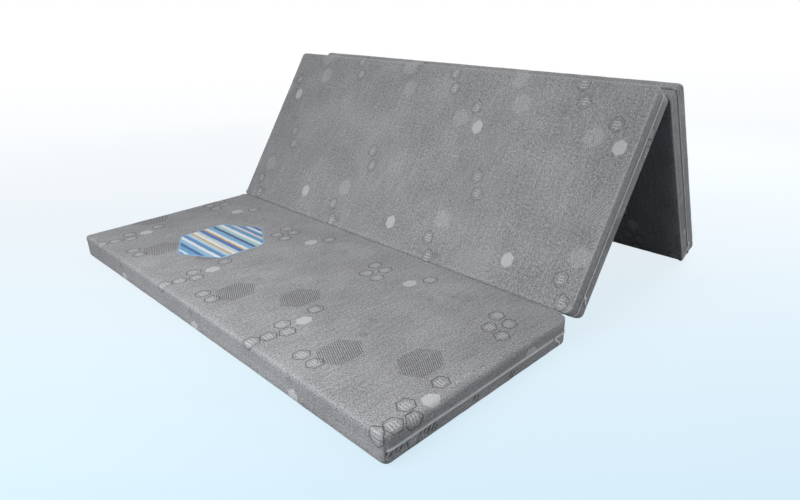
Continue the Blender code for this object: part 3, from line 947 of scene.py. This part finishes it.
def boxPlaceOnWall(slab, place, normal, height):
    # The box place whose rounded place is this one on the wall
    corner = slabShape["cornerRound"]
    x, y = place[0], place[1]
    if abs(normal[0]) > 1e-6 and abs(normal[1]) > 1e-6:
        reach = corner / max(abs(normal[0]), abs(normal[1]))
        x = math.copysign(slab["halfX"] - corner, place[0]) + normal[0] * reach
        y = math.copysign(slab["halfY"] - corner, place[1]) + normal[1] * reach
    return x, y, height


def makeStitches(slab, material):
    # Topstitching on the cover either side of the zip
    total, at = zipLine(slab)
    long, radius = zipParts["stitchLength"], zipParts["stitchRadius"]
    sections = ((0, -0.0004, 0.55), (0.25, 0.00022, 1), (0.75, 0.00022, 1), (1, -0.0004, 0.55))
    for half in ("upper", "lower"):
        height = signs[half] * (slabShape["slotReach"] + zipParts["stitchAway"])
        boxes = np.array([
            boxPlaceOnWall(slab, *at(start + long * share), height)
            for start in np.arange(0.002, total - long, zipParts["stitchPitch"])
            for share, _, _ in sections
        ])
        points, normals, _, _ = shapeSlab(slab, boxes)
        threads = []
        for base in range(0, len(boxes), len(sections)):
            along = unit(points[base + 3] - points[base])
            threads.append(bar([
                (point + out * lift, out * radius * girth, np.cross(along, out) * radius * girth)
                for point, out, (_, lift, girth) in zip(points[base:], normals[base:], sections)
            ], 5))
        addPiece(slab, "ZipStitches" + half.capitalize(), "knit_cover", *join(threads), material)


slider = {
    "length": 0.013,
    "shoulder": 0.0034,  # half widths of the face plate
    "waist": 0.0027,
    "plateIn": 0.0008,
    "plateOut": 0.0018,
    "lipIn": -0.0016,
    "lipWall": 0.0005,
    "bridgeLength": 0.0088,
    "bridgeRise": 0.0018,
    "bridgeBar": 0.0014,
    "castEdge": 0.00022,
}


def makeSlider(slab, material):
    half, plateOut, barHalf = slider["length"] / 2, slider["plateOut"], slider["bridgeBar"] / 2
    outline = [
        (half * y, z * (slider["waist"] if y < 0 else slider["shoulder"]))
        for y, z in ((-1, 0.55), (-0.8, 0.9), (-0.3, 1.0), (0.2, 1.0), (0.75, 0.92), (1, 0.62))
    ]
    outline += [(y, -z) for y, z in reversed(outline)]
    parts = [loft([[np.array((x, y, z)) for y, z in outline] for x in (slider["plateIn"], plateOut)])]
    for side in (1, -1):
        out = side * (slider["shoulder"] - 0.0001)
        lip, lipTop = out - side * slider["lipWall"], plateOut - 0.0003
        ring = ((slider["lipIn"], out), (lipTop, out), (lipTop, lip), (slider["lipIn"], lip))
        parts.append(loft([
            [np.array((x, y, z)) for x, z in ring] for y in (-half * 0.82, 0.0, half * 0.82)
        ]))
    # Bridge: a rounded bar bent over the plate
    top = plateOut + slider["bridgeRise"] + barHalf
    reach = slider["bridgeLength"] / 2 - barHalf
    path = [(plateOut - 0.0004, -reach), (top - 0.0012, -reach), (top - 0.0003, -reach + 0.0004),
            (top, -reach + 0.0013)]
    path = np.array([(x, y, 0.0) for x, y in path + [(x, -y) for x, y in reversed(path)]])
    ends = np.concatenate([path[:1], path, path[-1:]])
    sections = []
    for place, before, after in zip(path, ends, ends[2:]):
        along = unit(after - before)
        sections.append((place, np.array((-along[1], along[0], 0.0)) * barHalf, upZ * barHalf))
    parts.append(bar(sections, 10))
    points, faces = join(parts)
    place = np.array((slab["halfX"], slab["sliderY"], 0))
    points = np.array(points) * (1, slab["wrap"], 1) + place
    piece = addPiece(
        slab, "ZipSlider", "slider_metal", points, [face[::slab["wrap"]] for face in faces], material,
        "zip_slider", body=f"{slab['name']}_slider",
    )
    soften = piece.modifiers.new("castEdges", "BEVEL")
    soften.width = slider["castEdge"]
    soften.segments = 2
    soften.limit_method = "ANGLE"
    soften.angle_limit = math.radians(40)
    piece.data.set_sharp_from_angle(angle=math.radians(40))


pull = {
    "length": 0.032,
    "width": 0.0036,
    "thickness": 0.0013,
    "eyeInner": 0.00128,
    "eyeOuter": 0.00205,
    "eyeSteps": 16,
    "eyeEnd": 0.003,  # below here the tape hangs in a curve
    "lean": 70,  # degrees from plumb where it leaves the slider, easing to none at its tip
    "tackLevels": (0.0052, 0.0062, 0.0300),
    "tackRadius": 0.00018,
}


def makePull(slab, material, threadMaterial):
    # A woven tape doubled over the bridge, sewn below the eye
    half, wide, steps = pull["thickness"] / 2, pull["width"] / 2, pull["eyeSteps"]
    neck = math.asin(half / pull["eyeOuter"])
    turns = [neck + 2 * (math.pi - neck) * step / steps for step in range(steps + 1)]
    levels = np.linspace(pull["length"], pull["eyeOuter"] * math.cos(neck), 14)
    outline = [(half, -level) for level in levels]
    outline += [(pull["eyeOuter"] * math.sin(t), -pull["eyeOuter"] * math.cos(t)) for t in turns[1:-1]]
    outline += [(-half, -level) for level in levels[::-1]]
    pivotX = slider["plateOut"] + slider["bridgeRise"] + slider["bridgeBar"] / 2
    place = np.array((slab["halfX"] + pivotX, slab["sliderY"], 0))
    widths = ((-wide, 0.72), (-wide * 0.86, 1.0), (0.0, 1.05), (wide * 0.86, 1.0), (wide, 0.72))

    # The hanging line, walked in small steps from below the eye
    eyeEnd, walk = pull["eyeEnd"], 60
    step = (pull["length"] - eyeEnd) / walk
    leans = [
        math.radians(pull["lean"]) * math.cos(math.pi / 2 * k / walk) * min(1.0, k / 5)
        for k in range(walk + 1)
    ]
    sideways, downward = (
        np.concatenate([[0], np.cumsum([way(lean) * step for lean in leans])])
        for way in (math.sin, math.cos)
    )

    def hang(x, y, z):
        run = max(0.0, -z - eyeEnd) / step
        aside, below = (float(np.interp(run, range(walk + 2), line)) for line in (sideways, downward))
        # Keeps the tape's width square to the line
        angle = leans[min(int(run), walk)] if run > 0 else 0.0
        level = min(-z, eyeEnd) + below if z < 0 else -z
        sideway = slab["wrap"] * (aside + y * math.cos(angle))
        return place + np.array((x, sideway, -level + y * math.sin(angle)))

    points, faces = loft([
        [hang(x * girth if z < -eyeEnd else x, across, z) for x, z in outline] for across, girth in widths
    ], capped=False)
    # Side skins between the two strands, leaving the eye open, and the eye's lining
    count, tail, last = len(outline), len(levels), len(widths) - 1
    lining = len(points)
    inner = pull["eyeInner"]
    for across in (-wide, wide):
        points += [hang(inner * math.sin(t), across, -inner * math.cos(t)) for t in turns]
    for base, lined in ((0, lining), (last * count, lining + steps + 1)):
        end = base + count - 1
        faces += [(base + k, base + k + 1, end - k - 1, end - k) for k in range(tail - 1)]
        rim = base + tail - 1
        faces += [(rim + k, rim + k + 1, lined + k + 1, lined + k) for k in range(steps)]
    across = steps + 1
    faces += [(k, across + k, across + k + 1, k + 1) for k in range(lining, lining + steps)]
    piece = addPiece(
        slab, "ZipPull", "pull_webbing", points, faces, material, "zip_pull", body=f"{slab['name']}_pull"
    )
    turnOutward(piece)
    tacks = []
    radius = pull["tackRadius"]
    for level in pull["tackLevels"]:
        for across in np.linspace(-wide * 0.75, wide * 0.75, 5):
            for face in (1, -1):
                tacks.append(bar([
                    (hang(face * (half * 1.05 + 0.0001), across + shift, -level),
                     np.array((radius * girth, 0, 0)), upZ * radius * girth)
                    for shift, girth in ((-0.00045, 0.5), (-0.0002, 1), (0.0002, 1), (0.00045, 0.5))
                ], 5))
    addPiece(
        slab, "PullStitches", "pull_webbing", *join(tacks), threadMaterial, body=f"{slab['name']}_pull"
    )


# Fold webs: the knit strip that hinges one slab to the next

foldWeb = {
    "legs": 0.020,
    "start": 0.0011,  # how far below the fold line it crosses
    "clear": 0.0004,
    "thickness": 0.0012,
    "gap": 0.003,
    "sag": 0.0012,
    "crease": 0.0011,  # half width of the painted shade along the crease
    "step": 0.010,
    "wobble": 0.0002,
    "bendSpan": 0.003,  # half a span beside the fold; makeWeb works out an offset from it but does not apply it
}


def makeWeb(fold, parentSlab, childSlab, direction, material):
    axis = np.array(next(j for j in frame["joints"] if j["name"] == fold + "_fold")["pos_m"])
    offset = foldWeb["gap"] / 2 - foldWeb["clear"] - foldWeb["thickness"] / 2
    (parentDown, parentLeg), (childDown, childLeg) = (
        (slab["turn"][:, 2] * direction, [
            axis + slab["turn"][:, 2] * direction * run + slab["turn"][:, 1] * side * offset
            for run in np.linspace(foldWeb["start"], foldWeb["legs"], 5)
        ])
        for slab, side in ((parentSlab, -1), (childSlab, 1))
    )
    down = unit(parentDown + childDown)
    bridge = [
        parentLeg[0] * (1 - share) + childLeg[0] * share + down * foldWeb["sag"] * 4 * share * (1 - share)
        for share in np.linspace(0, 1, 9)[1:-1]
    ]
    line = np.array(parentLeg[::-1] + bridge + childLeg)
    steps = np.linalg.norm(np.diff(line, axis=0), axis=1)
    runs = np.concatenate([[0], np.cumsum(steps)]) - steps.sum() / 2
    tangent = np.gradient(line, axis=0)
    tangent /= np.linalg.norm(tangent, axis=1)[:, None]
    acrossFold = np.array((1.0, 0, 0))
    normal = np.cross(tangent, acrossFold)
    halfX = parentSlab["halfX"] - slabShape["cornerRound"]
    stationsX = np.linspace(-halfX, halfX, round(2 * halfX / foldWeb["step"]) + 1)
    rings = []
    for x in stationsX:
        wobble = ripple(np.array([[x, 0.0]]), 0.03, 5)[0] * foldWeb["wobble"]
        over, under = (
            line + acrossFold * x + normal * (sign * foldWeb["thickness"] / 2 + wobble) for sign in (1, -1)
        )
        rings.append([*over, *under[::-1]])
    web = newObject("foldWeb" + fold.capitalize(), *loft(rings), material)
    turnOutward(web)
    ringRuns = np.concatenate([runs, runs[::-1]])
    pointRuns = np.tile(ringRuns, len(stationsX))
    places = np.stack([np.repeat(stationsX, len(ringRuns)) + halfX, -pointRuns], axis=1)
    corners = np.array([loop.vertex_index for loop in web.data.loops])
    # Painted shade along the web's crease, carried by the seam share
    creased = np.exp(-(pointRuns / foldWeb["crease"]) ** 2)
    layCloth(web.data, places[corners], seam=creased, rub=creased * 0)
    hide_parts("fold_web_" + fold)
    cross = np.cross(acrossFold, down)
    cross *= foldWeb["bendSpan"] * (-1 if cross @ (childDown - parentDown) < 0 else 1)
    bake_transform(web)


# Patch: a plain banded weave with an overlocked border

patch = {
    "across": 0.285,
    "left": 0.283,
    "back": 0.183,
    "cornerRound": 0.030,
    "lift": 0.0004,
    "thickness": 0.0006,
    "borderWidth": 0.0042,
    "stitchPitch": 0.0019,
    "stitchShape": ((-1.0, 0.0006, 0.5), (-0.6, 0.0009, 1), (-0.1, 0.0009, 1), (0.25, 0.0005, 0.9),
                    (0.3, 0.0001, 0.6)),  # share of the border's width, lift and girth
    "rings": 22,
    "cornerSteps": 8,
    "edgeSteps": 14,
    "threadPitch": 1.8,  # mm, coarser than real thread, so that it shows
    "threadDark": "#1F3F66",
    "bands": (
        (0.00, "#3A78B5"), (0.05, "#E6EEF3"), (0.075, "#5FA3D0"), (0.13, "#2F5F9E"), (0.17, "#8FC3DF"),
        (0.22, "#F0F3F4"), (0.26, "#4A8CC4"), (0.31, "#BFD9E6"), (0.36, "#D3A445"), (0.38, "#F2F1EC"),
        (0.42, "#C9DDE6"), (0.46, "#3C6FB0"), (0.51, "#D2A13C"), (0.53, "#F0F2F2"), (0.57, "#79B4D8"),
        (0.62, "#34508F"), (0.66, "#A9D2D0"), (0.70, "#F2F4F4"), (0.745, "#5C9CCB"), (0.80, "#E9D9CF"),
        (0.83, "#4C86BE"), (0.88, "#DDE8EE"), (0.92, "#35549A"), (0.96, "#C8DDEA"),
    ),
}


def satinWeave():
    # Satin-woven polyester ribbon cloth in plain bands: soft gloss along the threads, crisp colour steps
    material, shader, add = newMaterial(
        "satinWovenPolyester", Roughness=0.52, Sheen_Weight=0.1, Specular_IOR_Level=0.35
    )
    flat = add("VectorMath SCALE", {0: add("TexCoord", output="Object"), "Scale": 1000})
    across = add("SeparateXYZ", flat)
    along = across.node.outputs[1]
    waver = add("TexNoise", {"Vector": flat, "Scale": 0.05, "Detail": 1.0})
    line = add("Math MULTIPLY_ADD", waver, 5.0, along)
    middle = (slabs["seat"]["halfY"] - patch["back"] - patch["across"] / math.sqrt(3)) * 1000
    bands = add("ValToRGB", add("MapRange", line, middle - 165, middle + 168), stops=patch["bands"])
    bands.node.color_ramp.interpolation = "CONSTANT"
    turns = 2 * math.pi / patch["threadPitch"]
    weave = add("Math MULTIPLY", *[
        add("Math SINE", add("Math MULTIPLY", way, turns)) for way in (across, along)
    ])
    tint = add("MapRange", weave, -1.0, 1.0, 0.0, 0.22)
    colour = add("Mix", {0: tint, 6: bands, 7: linear(patch["threadDark"])}, output=2, data_type="RGBA")
    finishSurface(shader, colour, weave, 0.0002, 0.6)
    return material


def patchOutline(inset):
    tip = patch["across"] / math.sqrt(3)
    centre = np.array((
        patch["left"] + patch["across"] / 2 - slabs["seat"]["halfX"],
        slabs["seat"]["halfY"] - patch["back"] - tip,
    ))
    rounding, steps = patch["cornerRound"], patch["cornerSteps"]
    corners = []
    for corner in range(6):
        aim = math.pi / 2 + corner * math.pi / 3
        pivot = centre + np.array((math.cos(aim), math.sin(aim))) * (tip - rounding * 2 / math.sqrt(3))
        for step in range(steps + 1):
            turn = aim + (step / steps - 0.5) * math.pi / 3
            corners.append(pivot + np.array((math.cos(turn), math.sin(turn))) * (rounding - inset))
    outline = []
    for number, (place, after) in enumerate(zip(corners, corners[1:] + corners[:1])):
        parts = patch["edgeSteps"] if (number + 1) % (steps + 1) == 0 else 1
        outline += [place + (after - place) * k / parts for k in range(parts)]
    return centre, np.array(outline)


def makePatch(material, borderMaterial):
    seat, width, pitch = slabs["seat"], patch["borderWidth"], patch["stitchPitch"]
    centre, rim = patchOutline(width * 0.5)

    def onSeat(plan, lift):
        box = np.concatenate([plan, np.full((len(plan), 1), slabShape["seamHeight"])], axis=1)
        points, _, _, _ = shapeSlab(seat, box)
        return np.concatenate([plan, (points[:, 2] + lift)[:, None]], axis=1)

    rings = [
        onSeat(centre + (rim - centre) * share, patch["lift"] + patch["thickness"])
        for share in np.linspace(0.04, 1, patch["rings"])
    ]
    rings.append(onSeat(rim, patch["lift"] * 0.5))
    piece = addPiece(seat, "Patch", "woven_patch", *loft(rings), material, "woven_patch")
    turnOutward(piece)
    # Border: overlock stitches, each a slanted rounded bar over the edge
    _, outer = patchOutline(0.0)
    closed = np.concatenate([outer, outer[:1]])
    runs = np.concatenate([[0], np.cumsum(np.linalg.norm(np.diff(closed, axis=0), axis=1))])
    count = int(runs[-1] / pitch)
    starts = np.arange(count) * runs[-1] / count
    places = np.stack([np.interp(starts, runs, closed[:, k]) for k in (0, 1)], axis=1)
    ahead = np.roll(places, -1, axis=0) - np.roll(places, 1, axis=0)
    ahead /= np.linalg.norm(ahead, axis=1)[:, None]
    outward = np.stack([ahead[:, 1], -ahead[:, 0]], axis=1)
    stitches = []
    for place, on, out in zip(onSeat(places, 0), ahead, outward):
        stitches.append(bar([
            (place + np.array((*(out * width * share + on * pitch * 0.5 * share), lift)),
             np.array((*on, 0)) * pitch * 0.56 * girth, upZ * 0.00035 * girth)
            for share, lift, girth in patch["stitchShape"]
        ], 5))
    addPiece(seat, "PatchBorder", "woven_patch", *join(stitches), borderMaterial)


# Stage: pale floor that fades from light blue at the camera's side to white, soft lights

stage = {
    "floorHalf": 60.0,
    "floorDrop": 0.0005,
    "floorStops": ((0.9, "#D7EEFB"), (1.31, "#E0F2FC"), (1.75, "#E8F5FD"), (2.15, "#EEF7FD"),
                   (3.7, "#F7FBFE"), (7.0, "#FFFFFF")),  # metres in front of the camera
    "middle": (0.0, 0.4, 0.0),
    "whiteFrom": (2.5, 6.0),  # metres from the middle
    "shadowFade": (1.2, 3.2),
    "shadowShare": 0.11,
    "bounce": 0.15,  # what the floor gives back to the mattress
    "worldStrength": 0.14,
    "lights": {
        "key": {"place": (0.3, -1.55, 1.25), "aim": (0, -0.3, 0), "size": 1.5, "power": 40.5},
        "top": {"place": (-0.4, 1.1, 3.1), "aim": (0, -0.4, 0), "size": 2.4, "power": 22},
        "right": {"place": (4.0, 0.95, 0.55), "aim": (0.8, 0.2, 0.2), "size": 0.9, "power": 32},
        "behind": {"place": (0.5, 4.0, 1.7), "aim": (0, 0.9, 0.3), "size": 2.0, "power": 130},
    },
}


def shownRays(tree):
    # 1 for rays that show a surface as it is, 0 for those that light the mattress
    shown = addNode(tree, "LightPath", output="Is Camera Ray")
    rays = shown.node.outputs
    for kind in ("Is Glossy Ray", "Is Transmission Ray"):
        shown = addNode(tree, "Math MAXIMUM", shown, rays[kind])
    return shown


def makeFloor():
    size, low = stage["floorHalf"], -stage["floorDrop"]
    material = bpy.data.materials.new("paleFloor")
    floor = newObject(
        "floor", [(-size, -size, low), (size, -size, low), (size, size, low), (-size, size, low)],
        [(0, 1, 2, 3)], material,
    )
    material.use_nodes = True
    tree = material.node_tree
    tree.nodes.clear()
    add = partial(addNode, tree)
    place = add("NewGeometry", output="Position")
    turn = math.radians(camera["turn"][2])
    fromStart = add("VectorMath SUBTRACT", place, camera["place"])
    ahead = (-math.sin(turn), math.cos(turn), 0)
    distance = add("VectorMath DOT_PRODUCT", fromStart, ahead, output="Value")
    # Stops are evenly spread by one over the distance, as the picture's rows are
    first, last = (1 / stage["floorStops"][end][0] for end in (0, -1))
    stops = [((first - 1 / at) / (first - last), tone) for at, tone in stage["floorStops"]]
    clear = add("MapRange", add("Math DIVIDE", 1.0, distance), first, last)
    share = add("Math SUBTRACT", clear, add("Math LESS_THAN", distance, 0.0), use_clamp=True)
    aside = add("VectorMath DISTANCE", place, stage["middle"], output="Value")
    outer = add("MapRange", aside, *stage["whiteFrom"], interpolation_type="SMOOTHSTEP")
    colour = add("ValToRGB", add("Math MAXIMUM", share, outer), stops=stops)
    shown = shownRays(tree)
    level = add("MapRange", {0: shown, 3: stage["bounce"], 4: 1.0})
    matt = add("BsdfDiffuse", {"Color": add("VectorMath SCALE", {0: colour, "Scale": level})})
    glow = add("Emission", {"Color": colour, "Strength": 1.0})
    fade = add("MapRange", aside, *stage["shadowFade"], 1 - stage["shadowShare"], 1.0,
               interpolation_type="SMOOTHSTEP")
    add("OutputMaterial", add("MixShader", add("Math MULTIPLY", shown, fade), matt, glow))


def makeLight():
    scene = bpy.context.scene
    scene.view_settings.view_transform = "Standard"
    world = bpy.data.worlds.new("studio")
    world.use_nodes = True
    scene.world = world
    tree = world.node_tree
    tree.nodes.clear()
    soft, white = (
        addNode(tree, "Background", {"Color": linear("#FFFFFF"), "Strength": strength})
        for strength in (stage["worldStrength"], 1.0)
    )
    addNode(tree, "OutputWorld", addNode(tree, "MixShader", shownRays(tree), soft, white))
    for name, light in stage["lights"].items():
        data = bpy.data.lights.new(name, "AREA")
        data.energy, data.size = light["power"], light["size"]
        lamp = bpy.data.objects.new(name, data)
        lamp.location = light["place"]
        lamp.visible_camera = False
        ahead = Vector(light["aim"]) - Vector(light["place"])
        lamp.rotation_euler = ahead.to_track_quat("-Z", "Y").to_euler()
        scene.collection.objects.link(lamp)
    report("stage")


def makeCamera():
    data = bpy.data.cameras.new("camera")
    data.lens, data.sensor_width = camera["lens"], camera["sensor"]
    data.clip_start, data.clip_end = 0.01, 200
    made = bpy.data.objects.new("camera", data)
    made.location = camera["place"]
    made.rotation_euler = [math.radians(angle) for angle in camera["turn"]]
    bpy.context.scene.collection.objects.link(made)
    bpy.context.scene.camera = made
    report("camera")


makeCamera()
slabs = {name: readSlab(name, plan) for name, plan in slabPlans.items()}
hexGroup = hexField()
materials = {name: jacquardKnit(name, run, hexGroup) for name, run in jacquardRuns.items()}
# Polyurethane foam, cut: matt and open-celled
foamFinish = fineMaterial("cutFoam", ("#D9D2B4", "#E9E4CC"), 2.2, 0.0006, Roughness=0.95)
# Woven polyester tape: dull, with fine ribs and painted shade in their grooves
tapeLook = dict(grain=1.5, bumpDepth=0.0002, stripes=(1.6, (0, 1, 0)), Roughness=0.9)
tapeFinish = fineMaterial("wovenZipTape", ("#DCDDE0", "#E6E7EA", "#BEBFC3"), **tapeLook)
# A darker copy of the zip tape, as painted shade for the rear slab's zip
shadedZipTapeFinish = fineMaterial("wovenGreyZipTape", ("#A6A7AB", "#B2B3B7", "#8D8E92"), **tapeLook)
# Nylon monofilament: slightly glossy and pale
coilLook = dict(grain=6.0, bumpDepth=0.00005, Roughness=0.5, IOR=1.53)
coilFinish = fineMaterial("nylonCoil", ("#DEDEE1", "#E9E9EB"), **coilLook)
# A darker copy of the coil, as painted shade for the rear slab's zip
shadedCoilFinish = fineMaterial("nylonCoilShadedCopy", ("#A3A4A8", "#AFB0B4"), **coilLook)
# Die-cast zinc with a nickel plate, rubbed at its edges
sliderFinish = fineMaterial(
    "nickelPlatedZinc", ("#A5A5A7", "#B7B7B9", "#DADADC"), 1.5, 0.00003,
    wear=0.6, Metallic=1.0, Roughness=0.32,
)
# Woven polyester tape again, finer and whiter, with painted shade in its ribs' grooves
pullFinish = fineMaterial(
    "wovenPullTape", ("#EEEEEF", "#F6F6F6", "#CBCCCE"), 0.8, 0.0001,
    stripes=(1.1, (0, 0.3, 1)), Roughness=0.85,
)
# Spun polyester thread: dull and slightly uneven
threadFinish = fineMaterial("spunPolyesterThread", ("#A3A4A8", "#B7B8BB"), 0.6, 0.00005, Roughness=0.8)
borderFinish = fineMaterial("overlockThread", ("#86AFCF", "#A0C2DB"), 0.7, 0.00005, Roughness=0.7)
report("materials")

for slab in slabs.values():
    zipInShade = slab["zipPaintedShade"]
    makeCovers(slab)
    makeFoam(slab, foamFinish)
    makeTapes(slab, shadedZipTapeFinish if zipInShade else tapeFinish, shadedCoilFinish if zipInShade else coilFinish)
    makeStitches(slab, threadFinish)
    makeSlider(slab, sliderFinish)
    makePull(slab, pullFinish, threadFinish)
    report(f"{slab['name']} zip")

makeWeb("front", slabs["seat"], slabs["back"], -1, materials["frontRun"])
makeWeb("rear", slabs["back"], slabs["rear"], 1, materials["frontRun"])
makePatch(satinWeave(), borderFinish)
report("folds and patch")
makeFloor()
makeLight()

bpy.context.view_layer.update()
